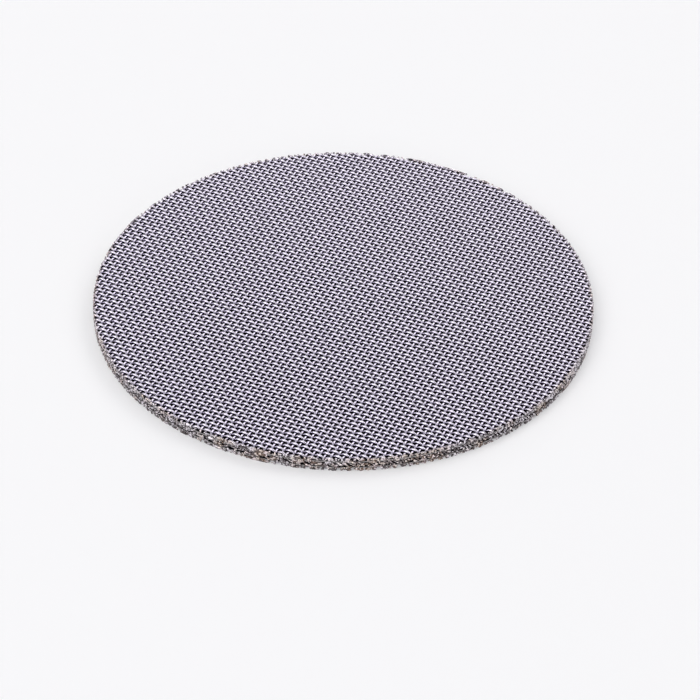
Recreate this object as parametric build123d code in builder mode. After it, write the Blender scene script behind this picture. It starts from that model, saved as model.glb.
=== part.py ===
from build123d import *
import os

# Puck screen: a stack of woven wire cloths, pressed and sintered into one flat plate and cut out round.
# It lies on the ground coffee in a filter basket and spreads the water over it. Millimetres.
# The origin is the centre of the lower face and +Z is up. The outer cloth shows its wires as ridges whose
# crowns the press has flattened: they run along X on the top face and along Y on the bottom face.

# The plate
disc_diameter = 58.0
disc_thickness = 1.7

# The outer cloths: 40 wires to the inch
wire_pitch = 0.64
wire_diameter = 0.28  # the width of a ridge at its foot
crown_flat = 0.12  # the width of the flat on each crown
groove_depth = 0.28  # from the crowns down to the cloth below

# The inner cloths leave an open channel beside each of their coarse wires, 12 to the inch, and the cut rim
# shows the channels' ends as small dark gaps. One cloth's channels run along X, and the other's along Y.
channel_pitch = 2.12
channel_width = 0.36
channel_height = 0.26
channel_wall = 0.18  # metal between the two levels of channels

disc_radius = disc_diameter / 2
groove_count = 2 * int((disc_radius - wire_diameter / 2) / wire_pitch)
channel_count = 2 * int((disc_radius - channel_width) / channel_pitch) + 1
channel_level = (channel_wall + channel_height) / 2  # of each channel's middle, from the plate's middle

# The plate's section across the wires of one face, with their crowns at height 0. An even count of grooves
# puts a wire on the middle. To the sides and below, the section reaches far past the plate.
section = [(-disc_diameter, -disc_diameter), (-disc_diameter, 0)]
for groove in range(groove_count):
    left_wire = (groove - groove_count / 2) * wire_pitch
    right_wire = left_wire + wire_pitch
    section += [
        (left_wire + crown_flat / 2, 0),
        (left_wire + wire_diameter / 2, -groove_depth),
        (right_wire - wire_diameter / 2, -groove_depth),
        (right_wire - crown_flat / 2, 0),
    ]
section += [(disc_diameter, 0), (disc_diameter, -disc_diameter)]

# Each plane looks along the wires or channels, and on the two faces its Y axis points out of the metal
top_wires = Plane(origin=(0, 0, disc_thickness), x_dir=(0, 1, 0), z_dir=(1, 0, 0))
bottom_wires = Plane(origin=(0, 0, 0), x_dir=(1, 0, 0), z_dir=(0, 1, 0))
upper_channels = Plane(origin=(0, 0, disc_thickness / 2 + channel_level), x_dir=(0, 1, 0), z_dir=(1, 0, 0))
lower_channels = Plane(origin=(0, 0, disc_thickness / 2 - channel_level), x_dir=(1, 0, 0), z_dir=(0, 1, 0))

with BuildPart() as mesh_disc:
    with BuildSketch(Plane.XY):
        Circle(disc_radius)
    extrude(amount=disc_thickness)

    for face in (top_wires, bottom_wires):
        with BuildSketch(face):
            with BuildLine():
                Polyline(*section, close=True)
            make_face()
        extrude(amount=disc_diameter, both=True, mode=Mode.INTERSECT)

    for level in (upper_channels, lower_channels):
        with BuildSketch(level):
            with GridLocations(channel_pitch, 0, channel_count, 1):
                Rectangle(channel_width, channel_height)
        extrude(amount=disc_diameter, both=True, mode=Mode.SUBTRACT)

mesh_disc.part.label = "mesh_disc"

os.makedirs("parts", exist_ok=True)
export_step(mesh_disc.part, "parts/mesh_disc.step")
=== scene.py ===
from math import atan, ceil, copysign, cos, floor, pi, radians, sin, sqrt, tan
from random import Random

import bmesh
import bpy
from mathutils import Matrix, Quaternion, Vector, noise


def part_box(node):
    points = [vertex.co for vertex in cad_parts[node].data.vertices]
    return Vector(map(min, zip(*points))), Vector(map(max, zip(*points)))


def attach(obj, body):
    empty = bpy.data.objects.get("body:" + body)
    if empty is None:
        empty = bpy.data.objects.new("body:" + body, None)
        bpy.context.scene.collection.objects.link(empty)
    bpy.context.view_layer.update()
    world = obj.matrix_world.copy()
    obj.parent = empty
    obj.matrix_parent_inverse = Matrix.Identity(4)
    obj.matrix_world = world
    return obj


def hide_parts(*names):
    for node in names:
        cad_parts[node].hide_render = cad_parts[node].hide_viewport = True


# A puck screen: woven steel wire cloths, laid on each other, pressed, sintered into one plate and cut out
# round. Everything here is in metres. The disc lies flat, with the centre of its lower face at the origin.
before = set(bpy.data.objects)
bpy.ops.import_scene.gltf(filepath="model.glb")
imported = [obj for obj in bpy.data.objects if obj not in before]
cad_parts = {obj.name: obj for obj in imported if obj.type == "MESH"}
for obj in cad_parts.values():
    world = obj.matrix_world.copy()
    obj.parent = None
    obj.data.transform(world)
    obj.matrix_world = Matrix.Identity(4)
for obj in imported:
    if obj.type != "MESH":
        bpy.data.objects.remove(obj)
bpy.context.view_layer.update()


# The upper outer cloth. It is plain woven from drawn stainless wire, 40 wires to the inch each way, and the
# press has flattened its crowns into one plane. Sintering joins its wires to each other and to the cloth
# below, and the disc is cut from the finished plate, so that every wire ends at the rim.
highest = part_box("mesh_disc")[1]
disc_radius = highest.x
disc_thickness = highest.z
wire_pitch = 0.00064
wire_radius = 0.000131
wire_swing = 0.83 * wire_radius  # how far its axis rises and falls: less than a radius, because it is pressed
pressed_radius = 0.8 * wire_radius  # from a wire's axis up to its flattened crown
wires_each_side = int((disc_radius - wire_radius) / wire_pitch)
cloth_height = 2 * (wire_swing + pressed_radius)
crown_unevenness = 0.000012  # how far a crown may lie above or below the rest
wire_wander = 0.00002  # how far a wire strays sideways in the weave
wander_length = 0.006  # how far along the wire such a stray goes on
cut_roughness = 0.0001  # how far a wire's end may stop short of the disc's full radius
burr_depth = 0.00035  # how far in from the rim the cut has left the wires lumpy
burr_size = 0.00009
burrs_per_metre = 7000
noise.seed_set(58)  # the lumps come from noise_vector, which draws its offsets from this seed

# The steel's colours: bright in the cloth with a painted shade for its deeper wires, four that the heat of
# the cut has left at the rim, and a silver for painted glints
bright_steel = (0.785, 0.745, 0.87, 1)
painted_shade_steel = (0.075, 0.069, 0.087, 1)
scorched = (0.12, 0.1, 0.1, 1)
painted_glint_silver = (0.82, 0.78, 0.84, 1)
brown = (0.19, 0.125, 0.09, 1)
straw = (0.74, 0.66, 0.61, 1)
rose = (0.77, 0.68, 0.7, 1)
bright_depth = 0.0001  # from the face down to here the wires are burnished
painted_shade_depth = 0.00028  # from here down their colour is painted dark, as shade in the weave's recesses
outer_cut_starts = disc_radius - 0.0006  # where the colours of the cut begin on the outer cloths
cut_scatter = 0.0006  # how far in and out that line wanders


class Shade:
    """A socket in a material's nodes. Arithmetic on it adds the Math nodes that work out the result."""

    def __init__(self, tree, socket=None):
        self.tree = tree
        self.socket = socket

    def node(self, kind, settings=None, values=None, output=0):
        """Adds one node: first its settings, and then the values or links of its sockets."""
        made = self.tree.nodes.new("ShaderNode" + kind)
        for setting, value in (settings or {}).items():
            setattr(made, setting, value)
        for name, value in (values or {}).items():
            if isinstance(value, Shade):
                self.tree.links.new(value.socket, made.inputs[name])
            else:
                made.inputs[name].default_value = value
        return Shade(self.tree, made.outputs[output])

    def calculate(self, operation, first, second):
        """Adds the Math node of this operation."""
        return self.node("Math", {"operation": operation}, {0: first, 1: second})

    def blend(self, share, first, second):
        """Mixes two colours: the first where the share is 0, and the second where it is 1."""
        return self.node("Mix", {"data_type": "RGBA"}, {0: share, 6: first, 7: second}, output=2)

    def __add__(self, other):
        return self.calculate("ADD", self, other)

    def __sub__(self, other):
        return self.calculate("SUBTRACT", self, other)

    def __rsub__(self, other):
        return self.calculate("SUBTRACT", other, self)

    def __mul__(self, other):
        return self.calculate("MULTIPLY", self, other)

    __radd__ = __add__
    __rmul__ = __mul__


def new_finish(name):
    """Makes a material, and gives it with its surface shader and a Shade to build its nodes from."""
    finish = bpy.data.materials.new(name)
    finish.use_nodes = True
    return finish, finish.node_tree.nodes["Principled BSDF"], Shade(finish.node_tree)


def feed(surface, socket, shade):
    """Links what varies over a surface into one socket of its surface shader."""
    shade.tree.links.new(shade.socket, surface.inputs[socket])


def place_on_disc(shade):
    """A point's place on the disc, and how far it lies from the disc's axis."""
    place = shade.node("TexCoord", output="Object")
    flat_place = shade.node("VectorMath", {"operation": "MULTIPLY"}, {0: place, 1: (1, 1, 0)})
    return place, shade.node("VectorMath", {"operation": "LENGTH"}, {0: flat_place}, output="Value")


def wire_finish(name, runs_along_y, steel, shaded_deep_steel, cut_starts):
    """Drawn stainless wire after sintering, with the die's fine lines along it. The press has burnished its
    crowns, and deeper down the colour darkens into painted shade. At the cut it is straw, rose, brown and
    scorched, with painted glints."""
    finish, surface, shade = new_finish(name)
    place, from_centre = place_on_disc(shade)
    height = shade.node("SeparateXYZ", {}, {0: place}, output=2)
    from_middle = shade.calculate("ABSOLUTE", height - disc_thickness / 2, 0)
    die_stretch = (1, 0.04, 1) if runs_along_y else (0.04, 1, 1)
    drawn_place = shade.node("VectorMath", {"operation": "MULTIPLY"}, {0: place, 1: die_stretch})
    die_lines = shade.node("TexNoise", {}, {"Vector": drawn_place, "Scale": 26000, "Detail": 2})
    grain = shade.node("TexNoise", {}, {"Vector": place, "Scale": 9000, "Detail": 4})
    patches = shade.node("TexNoise", {}, {"Vector": place, "Scale": 480, "Detail": 2})
    specks = shade.node("TexNoise", {}, {"Vector": place, "Scale": 3200, "Detail": 3})
    wear = shade.node("TexNoise", {}, {"Vector": place, "Scale": 1500, "Detail": 1})

    def ramp(value, low, high):
        limits = {"Value": value, "From Min": low, "From Max": high}
        return shade.node("MapRange", {"interpolation_type": "SMOOTHSTEP"}, limits)

    cut = ramp(from_centre + (specks - 0.5) * cut_scatter, cut_starts, disc_radius)
    crown = ramp(from_middle, disc_thickness / 2 - painted_shade_depth, disc_thickness / 2 - bright_depth)
    burnt = cut * ramp(patches + (specks - 0.5) * 0.6, 0.46, 0.64)  # in patches with speckled edges
    painted_glints = ramp(specks + (height - disc_thickness / 2) * 45, 0.45, 0.57)  # painted glints: bright specks in the colour, fewer towards the bottom
    tint = shade.blend(ramp(wear, 0.4, 0.6), straw, rose)
    # Painted shade: the colour darkens from the crowns down into the weave's recesses
    plain = shade.blend(crown * ramp(wear, -0.4, 0.5), shaded_deep_steel, steel)
    # Painted glints: specks of silver, or of the heat tints, stand in for light glinting off the cut
    melted = shade.blend(burnt, shade.blend(painted_glints, scorched, painted_glint_silver), shade.blend(painted_glints, brown, tint))
    feed(surface, "Base Color", shade.blend(cut, plain, melted))
    feed(surface, "Roughness", grain * 0.16 + die_lines * 0.08 + 0.06)
    relief = grain + die_lines + cut * specks * 12
    feed(surface, "Normal", shade.node("Bump", {}, {"Height": relief, "Strength": 0.25, "Distance": 0.00001}))
    surface.inputs["Metallic"].default_value = 1.0
    return finish


def dress(mesh, finish):
    """Puts a finished mesh into the scene as a piece that stands for the disc's CAD node."""
    piece = bpy.data.objects.new(mesh.name, mesh)
    bpy.context.scene.collection.objects.link(piece)
    mesh.materials.append(finish)
    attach(piece, "root")
    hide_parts("mesh_disc")


def lay_wires(
    name, finish, runs_along_y, numbers, gap, crossing_gap, radius, swing, middle,
    sides, ring_length, hollow=0,
):
    """Lays wires side by side, each rising and falling over those that cross it, pressed and cut at the rim.

    A wire's number gives its place and whether it starts over or under. Each wire is a tube with this many
    sides, and with a ring of corners every ring length. There is no wire inside the hollow radius.
    """
    wires = bmesh.new()
    crest_stretch = 1 / cos(pi * ring_length / crossing_gap / 2)  # a crest lies midway between two rings
    top_corner = pi / 2 * (sides % 2)  # turns a tube of odd sides so that one side lies flat at the bottom
    for number in numbers:
        offset = number * gap
        wave = crest_stretch * (-swing if (number + runs_along_y) % 2 else swing)
        longest = sqrt(disc_radius**2 - max(abs(offset) - radius, 0) ** 2)
        shortest = sqrt(max(hollow**2 - offset**2, 0))
        stretches = ((-longest, -shortest), (shortest, longest)) if shortest else ((-longest, longest),)
        for start, end in stretches:
            first_ring = floor(start / ring_length - 0.5)
            gaps = ceil(end / ring_length - 0.5) - first_ring
            grid = bmesh.ops.create_grid(wires, x_segments=gaps, y_segments=sides, size=0.5)
            for vert in grid["verts"]:
                # The odd numbers in the seeds only keep one noise, or one wire's noise, apart from the next
                ring = first_ring + round((vert.co.x + 0.5) * gaps)
                corner = round((vert.co.y + 0.5) * sides) % sides  # the last closes the tube onto the first
                along = (ring + 0.5) * ring_length
                turn = 2 * pi * corner / sides + top_corner
                phase = pi * along / crossing_gap
                tilt = atan(-wave * sin(phase) * pi / crossing_gap)
                lift_seed = (along / crossing_gap, number * 1.7, middle * 9000 + runs_along_y)
                lift = crown_unevenness * noise.noise(lift_seed)
                stray = wire_wander * noise.noise((along / wander_length, number * 0.9, 4.3 + runs_along_y))
                height = middle + wave * cos(phase) + lift + radius * sin(turn) * cos(tilt)
                along -= radius * sin(turn) * sin(tilt)
                sideways = offset + stray + radius * cos(turn)
                end_seed = (number * 3.1, copysign(7.7, along), height * 9000)
                cut = disc_radius - cut_roughness * (0.5 + 0.5 * noise.noise(end_seed))
                reach = sqrt(max(cut**2 - sideways**2, 0))
                along = min(max(along, -reach, start), reach, end)
                height = min(max(height, 0), disc_thickness)
                vert.co = (sideways, along, height) if runs_along_y else (along, sideways, height)
                near_rim = min(max(1 - (disc_radius - vert.co.xy.length) / burr_depth, 0), 1)
                vert.co += near_rim * burr_size * noise.noise_vector(vert.co * burrs_per_metre)
                vert.co.z = min(max(vert.co.z, 0), disc_thickness)
                if vert.co.xy.length > disc_radius:
                    vert.co.xy *= disc_radius / vert.co.xy.length
    bmesh.ops.remove_doubles(wires, verts=wires.verts, dist=1e-9)
    bmesh.ops.holes_fill(wires, edges=[edge for edge in wires.edges if edge.is_boundary])
    bmesh.ops.recalc_face_normals(wires, faces=wires.faces)
    for face in wires.faces:
        face.smooth = len(face.verts) == 4
    mesh = bpy.data.meshes.new(name)
    wires.to_mesh(mesh)
    wires.free()
    dress(mesh, finish)


def weave_cloth(side, middle, finishes, sides, rings_per_pitch):
    """Weaves one outer cloth in four pieces: every second wire of each direction."""
    for shed in (0, 1):
        numbers = range(shed - wires_each_side, wires_each_side + 1, 2)
        for direction, along_y in (("warp", 1), ("weft", 0)):
            lay_wires(
                f"{side}_{direction}_{shed + 1}", finishes[along_y], along_y, numbers, wire_pitch, wire_pitch,
                wire_radius, wire_swing, middle, sides, wire_pitch / rings_per_pitch,
            )


outer_finishes = [
    wire_finish(f"outer_{direction}_wire", along_y, bright_steel, painted_shade_steel, outer_cut_starts)
    for along_y, direction in enumerate(("weft", "warp"))
]
weave_cloth("upper", disc_thickness - cloth_height / 2, outer_finishes, 6, 4)


# The lower outer cloth, on the face that lies on the coffee. It is woven from the same steel wire, and it is
# pressed, sintered and cut like the upper one. Little of it is seen, so its wires have fewer sides and rings.
weave_cloth("lower", cloth_height / 2, outer_finishes, 5, 2)


# The filter layers, one sintered to each outer cloth, and woven from such thin steel wire that they are made
# as a smooth sheet here, coloured near black as painted shade for the dark depths of the openings. Between
# them lies the support cloth, of which only the cut edge shows, so that the rest of it is left closed and
# dark here.
filter_thickness = 0.00007
filter_radius = disc_radius - 0.00006  # the felt ends a little inside the rim
filter_cut = 0.0001  # how far in from its edge the cut has bared the felt's steel
support_hollow = disc_radius - 0.0009  # the support cloth's wires are only made outside this radius
filter_pressed_in = 0.00001  # how far the press has pushed the felt into the outer cloth
filter_top = disc_thickness - cloth_height + filter_pressed_in
# Near black: painted shade in the openings, where little light reaches
painted_shade_felt_dark = (0.002, 0.0018, 0.003, 1)
painted_shade_felt_pale = (0.01, 0.009, 0.013, 1)
cut_steel = (0.5, 0.48, 0.48, 1)
filter_finish, surface, shade = new_finish("filter_cloth_with_painted_shade")
place, from_centre = place_on_disc(shade)
pores = shade.node("TexNoise", {}, {"Vector": place, "Scale": 12000, "Detail": 2})
edge_limits = {"Value": from_centre, "From Min": filter_radius - filter_cut, "From Max": filter_radius}
cut_edge = shade.node("MapRange", {}, edge_limits)
feed(surface, "Base Color", shade.blend(cut_edge, shade.blend(pores, painted_shade_felt_dark, painted_shade_felt_pale), cut_steel))
feed(surface, "Metallic", cut_edge)
feed(surface, "Normal", shade.node("Bump", {}, {"Height": pores, "Strength": 0.6, "Distance": 0.00003}))
surface.inputs["Roughness"].default_value = 0.7
surface.inputs["Specular IOR Level"].default_value = 0.08
felt = bmesh.new()

# Half of the felt's section: from the axis out along its top, in and out again round the support cloth's
# hollow, and back to the axis along its bottom
profile = (
    (0, filter_top),
    (filter_radius, filter_top),
    (filter_radius, filter_top - filter_thickness),
    (support_hollow, filter_top - filter_thickness),
    (support_hollow, disc_thickness - filter_top + filter_thickness),
    (filter_radius, disc_thickness - filter_top + filter_thickness),
    (filter_radius, disc_thickness - filter_top),
    (0, disc_thickness - filter_top),
)
corners = [felt.verts.new((across, 0, height)) for across, height in profile]
edges = [felt.edges.new(pair) for pair in zip(corners, corners[1:])]
geometry = corners + edges
bmesh.ops.spin(felt, geom=geometry, axis=(0, 0, 1), cent=(0, 0, 0), angle=2 * pi, steps=180, use_merge=True)
bmesh.ops.remove_doubles(felt, verts=felt.verts, dist=1e-7)
bmesh.ops.recalc_face_normals(felt, faces=felt.faces)
mesh = bpy.data.meshes.new("filter_layers")
felt.to_mesh(mesh)
felt.free()
dress(mesh, filter_finish)


# The support cloth in the middle gives the plate its stiffness. It is a Dutch weave: thick straight wires far
# apart, and thin wires packed tight across them, which leave a small dark gap on each side of a thick wire.
# Only its cut edge shows at the rim.
thick_gap = 0.00212
thick_radius = 0.00015
thin_gap = 0.0002
support_height = 2 * filter_top - disc_thickness - 2 * filter_thickness
thin_radius = 0.000095
thin_swing = support_height / 2 - thin_radius
thick_each_side = int((disc_radius - thick_radius) / thick_gap)
thin_each_side = int((disc_radius - thin_radius) / thin_gap)
wires_start = support_hollow - 0.0001  # a little inside the felt's wall, which hides their inner ends
inner_cut_starts = disc_radius - 0.0008  # where the colours of the cut begin on the support cloth
support_steel = (0.6, 0.575, 0.6, 1)
support_finishes = [
    wire_finish(f"support_{kind}_wire", along_y, support_steel, support_steel, inner_cut_starts)
    for along_y, kind in enumerate(("thin", "thick"))
]
lay_wires(
    "support_thick_wires", support_finishes[1], 1, range(-thick_each_side, thick_each_side + 1),
    thick_gap, thick_gap, thick_radius, 0, disc_thickness / 2, 8, thick_gap / 4, wires_start,
)
lay_wires(
    "support_thin_wires", support_finishes[0], 0, range(-thin_each_side, thin_each_side + 1),
    thin_gap, thick_gap, thin_radius, thin_swing, disc_thickness / 2, 6, thick_gap / 8, wires_start,
)


# The beads at the rim: where the disc was cut out, steel melted and set again in small beads on the ends of
# the wires. They leave the gaps beside the support cloth's thick wires open.
bead_radii = (0.00008, 0.00017)
bead_stretches = ((0.5, 0.9), (0.8, 1.5), (0.7, 1.2))  # of its depth into the rim, and of its two widths
bead_sunk = 0.55  # how much of its radius a bead's middle lies inside the rim
bead_margin = 0.00005  # how near its middle may come to the two faces
gap_half_height = 0.0002
gap_reach = 0.0006  # how far a gap reaches from the middle of its thick wire
bead_levels = (0.3, 0.7)  # where a bead goes that would lie over a gap, in shares of the disc's thickness
doublings = 11  # 2,048 beads
chance = Random(58)
beads = bmesh.new()
bead_corners = len(bmesh.ops.create_icosphere(beads, subdivisions=1, radius=1)["verts"])
for doubling in range(doublings):
    bmesh.ops.duplicate(beads, geom=beads.verts[:] + beads.edges[:] + beads.faces[:])
for number, vert in enumerate(beads.verts):
    if number % bead_corners == 0:
        around = chance.uniform(0, 2 * pi)
        height = chance.uniform(bead_margin, disc_thickness - bead_margin)
        from_thick_wire = abs((disc_radius * cos(around) / thick_gap + 0.5) % 1 - 0.5) * thick_gap
        if abs(height - disc_thickness / 2) < gap_half_height and from_thick_wire < gap_reach:
            height = chance.choice(bead_levels) * disc_thickness
        radius = chance.uniform(*bead_radii)
        squash = Matrix.Diagonal([chance.uniform(*stretch) for stretch in bead_stretches] + [1])
        sunk = Matrix.Translation((disc_radius - radius * bead_sunk, 0, height))
        lie = Matrix.Rotation(around, 4, "Z") @ sunk
        place = lie @ Matrix.Rotation(chance.uniform(0, pi), 4, "X") @ squash @ Matrix.Scale(radius, 4)
    vert.co = place @ vert.co
    if vert.co.xy.length > disc_radius:
        vert.co.xy *= disc_radius / vert.co.xy.length
    vert.co.z = min(max(vert.co.z, 0), disc_thickness)
for face in beads.faces:
    face.smooth = True
mesh = bpy.data.meshes.new("rim_beads")
beads.to_mesh(mesh)
beads.free()
dress(mesh, wire_finish("bead_steel", 0, bright_steel, bright_steel, inner_cut_starts))


# The table: a large sheet of white paper under the disc. A part of its whiteness is given to it for the eye
# and for reflections alone, which leaves the disc's shadow on it as pale as it is in daylight.
table_size = 3.0
paper_white = (0.958, 0.9675, 0.985, 1)
glow_white = (1, 1, 1, 1)
glow_share = 0.3


def rays_of(shade, *kinds):
    """1 for rays of the named kinds, and 0 for all others."""
    rays = shade.node("LightPath", output=f"Is {kinds[0]} Ray")
    for kind in kinds[1:]:
        rays = shade.calculate("MAXIMUM", rays, shade.node("LightPath", output=f"Is {kind} Ray"))
    return rays


table_finish, surface, shade = new_finish("white_paper")
surface.inputs["Base Color"].default_value = paper_white
surface.inputs["Roughness"].default_value = 0.8
surface.inputs["Specular IOR Level"].default_value = 0.0
glow = shade.node("Emission", {}, {"Color": glow_white, "Strength": 1.0})
paper = Shade(shade.tree, surface.outputs["BSDF"])
seen = rays_of(shade, "Camera", "Glossy", "Transmission")
lit_paper = shade.node("MixShader", {}, {0: seen * glow_share, 1: paper, 2: glow})
feed(shade.tree.nodes["Material Output"], "Surface", lit_paper)
sheet = bmesh.new()
bmesh.ops.create_grid(sheet, x_segments=1, y_segments=1, size=table_size)
mesh = bpy.data.meshes.new("table")
sheet.to_mesh(mesh)
sheet.free()
table = bpy.data.objects.new("table", mesh)
bpy.context.scene.collection.objects.link(table)
mesh.materials.append(table_finish)


# The light: a dim bluish room with soft boxes hung around the disc. The room looks white to the eye, and so
# does the band along its horizon in reflections.
room_light = (0.8, 0.78, 1, 1)
room_strength = 0.22
horizon_white = (0.94, 0.94, 0.96, 1)
room = bpy.data.worlds.new("studio_room")
room.use_nodes = True
room_shade = Shade(room.node_tree)
direction = room_shade.node("TexCoord", output="Generated")
upwards = room_shade.node("SeparateXYZ", {}, {0: direction}, output="Z")
band = room_shade.node("MapRange", {}, {"Value": upwards, "From Min": 0.3, "From Max": 0.15})
mirrored = band * rays_of(room_shade, "Glossy", "Transmission")
shown = room_shade.calculate("MAXIMUM", mirrored, rays_of(room_shade, "Camera"))
feed(room.node_tree.nodes["Background"], "Color", room_shade.blend(shown, room_light, horizon_white))
feed(room.node_tree.nodes["Background"], "Strength", shown * (1 - room_strength) + room_strength)
bpy.context.scene.world = room

view_azimuth = radians(23.2)
away = Vector((-sin(view_azimuth), cos(view_azimuth), 0))  # level, from the camera towards the disc
lamp_distance = 1.4
lamp_white = (1, 0.985, 0.935)


def soft_lamp(name, bearing, elevation, width, height, power):
    """Hangs a soft box that faces the disc, sized by the angles that it fills. Bearings turn clockwise from
    straight behind the disc."""
    light = bpy.data.lights.new(name, "AREA")
    light.shape = "RECTANGLE"
    light.size = 2 * lamp_distance * tan(radians(width / 2))
    light.size_y = 2 * lamp_distance * tan(radians(height / 2))
    light.energy = power
    light.color = lamp_white
    lamp = bpy.data.objects.new(name, light)
    level = Quaternion((0, 0, 1), radians(-bearing)) @ away
    raised = level * cos(radians(elevation)) + Vector((0, 0, sin(radians(elevation))))
    lamp.location = lamp_distance * raised
    lamp.visible_camera = False
    lamp.rotation_mode = "QUATERNION"
    lamp.rotation_quaternion = lamp.location.to_track_quat("Z", "Y")
    bpy.context.scene.collection.objects.link(lamp)


soft_lamp("back_strip", 5, 14, 105, 22, 3.6)
soft_lamp("right_back_box", 48, 38, 50, 30, 6.4)
soft_lamp("left_box", 242, 50, 34, 52, 7.4)
soft_lamp("left_front_box", 215, 28, 40, 40, 4.2)
soft_lamp("right_front_low", 146, 14, 36, 22, 2.4)
soft_lamp("overhead_back", 0, 64, 30, 32, 2.6)
soft_lamp("overhead_front", 180, 62, 30, 28, 1.4)
soft_lamp("left_back_box", 322, 32, 32, 26, 1.6)
soft_lamp("right_box", 100, 35, 36, 28, 0.8)


# The camera looks down on the disc from about 38 degrees above the horizon, with a long lens, and is turned
# by a degree about its line of sight. The picture's middle is a little nearer than the disc's centre.
view_height = radians(37.849)
view_distance = 0.31388
aim_nearer = 0.00916
aim_right = 0.00084
aim = -away * aim_nearer + Vector((away.y, -away.x, 0)) * aim_right + Vector((0, 0, disc_thickness / 2))
stand_height = view_distance * sin(view_height) + disc_thickness / 2
stand = -away * view_distance * cos(view_height) + Vector((0, 0, stand_height))
camera_roll = radians(1.10)
lens = bpy.data.cameras.new("camera")
lens.lens = 138.86
camera = bpy.data.objects.new("camera", lens)
camera.location = stand
camera.rotation_mode = "QUATERNION"
camera.rotation_quaternion = (aim - stand).to_track_quat("-Z", "Y") @ Quaternion((0, 0, 1), camera_roll)
bpy.context.scene.collection.objects.link(camera)
bpy.context.scene.camera = camera
bpy.context.scene.view_settings.view_transform = "Standard"
